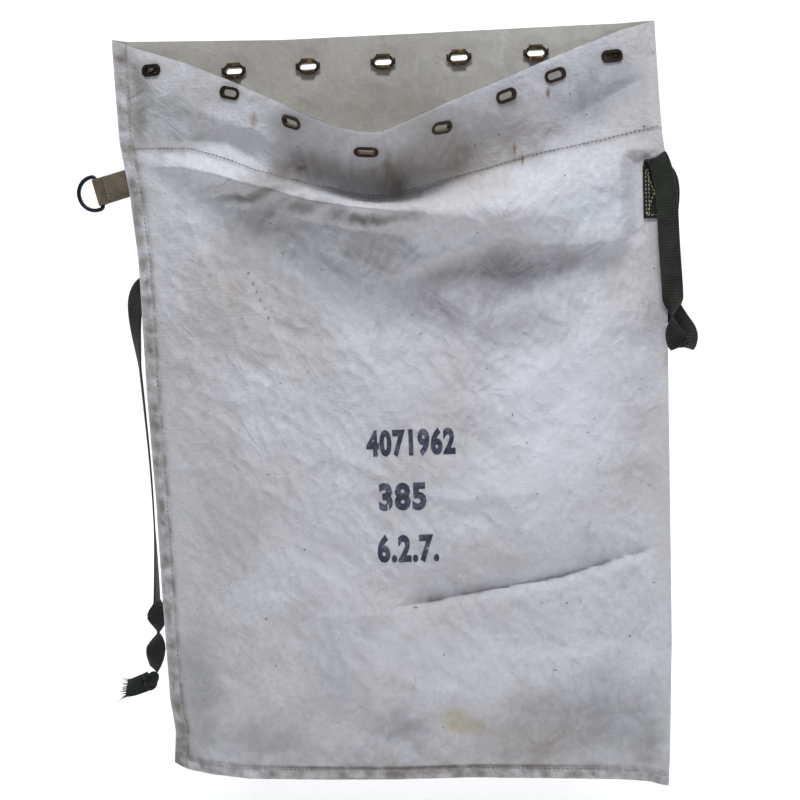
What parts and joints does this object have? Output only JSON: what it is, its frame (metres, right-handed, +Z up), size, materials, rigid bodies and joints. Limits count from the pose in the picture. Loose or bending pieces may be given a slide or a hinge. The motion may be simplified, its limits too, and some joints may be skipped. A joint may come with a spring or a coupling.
{
  "type": "cash deposit bag",
  "caption": "Canvas cash sack with oblong brass eyelets round its mouth, a D-ring on a webbing tab and a sewn closing strap, hanging with its mouth part open.",
  "frame": {"origin": "middle of the line of back eyelets, on the inner face of the back wall", "axes": "+X to the bag's right as seen from the front, +Y out of the back, +Z up; the front faces -Y"},
  "size_m": [0.576, 0.1271, 0.706],
  "materials": {
    "canvas": "matte woven cotton, soiled",
    "eyelet_brass": "tarnished",
    "thread": "matte cotton thread",
    "tan_webbing": "matte webbing",
    "strap_webbing": "matte webbing",
    "ring_steel": "darkened"
  },
  "bodies": {
    "bag_body": {"back_panel": "canvas", "front_panel": "canvas", "back_hem": "canvas", "side_seam": "canvas", "bottom_seam": "canvas", "front_end_eyelets": "eyelet_brass", "back_eyelets": "eyelet_brass", "side_seam_stitching": "thread", "bottom_seam_stitching": "thread", "front_hem_stitching": "thread", "back_hem_stitching": "thread", "ring_tab_root": "tan_webbing", "ring_tab_stitching": "thread", "strap_sewn_end": "strap_webbing", "strap_stitching": "thread", "strap_front_fall": "strap_webbing", "strap_back_run": "strap_webbing", "strap_knot": "strap_webbing"},
    "mouth_lip": {"front_lip": "canvas", "front_lip_eyelets": "eyelet_brass", "lip_hem_stitching": "thread"},
    "tab_loop": {"ring_tab": "tan_webbing"},
    "ring": {"d_ring": "ring_steel"}
  },
  "joints": [
    {"name": "mouth_opening", "type": "hinge", "parent": "bag_body", "child": "mouth_lip", "pos_m": [0, 0, 0.026], "axis": [-1, 0, 0], "range_deg": [-8, 18], "stiffness_Nm_per_rad": 0.8},
    {"name": "ring_tab_flex", "type": "hinge", "parent": "bag_body", "child": "tab_loop", "pos_m": [-0.2546, 0.0031, -0.099], "axis": [-0.2419, 0, 0.9703], "range_deg": [-30, 30], "stiffness_Nm_per_rad": 0.02},
    {"name": "ring_swing", "type": "hinge", "parent": "tab_loop", "child": "ring", "pos_m": [-0.27789, 0.0031, -0.10481], "axis": [-0.2419, 0, 0.9703], "range_deg": [-120, 120]}
  ]
}
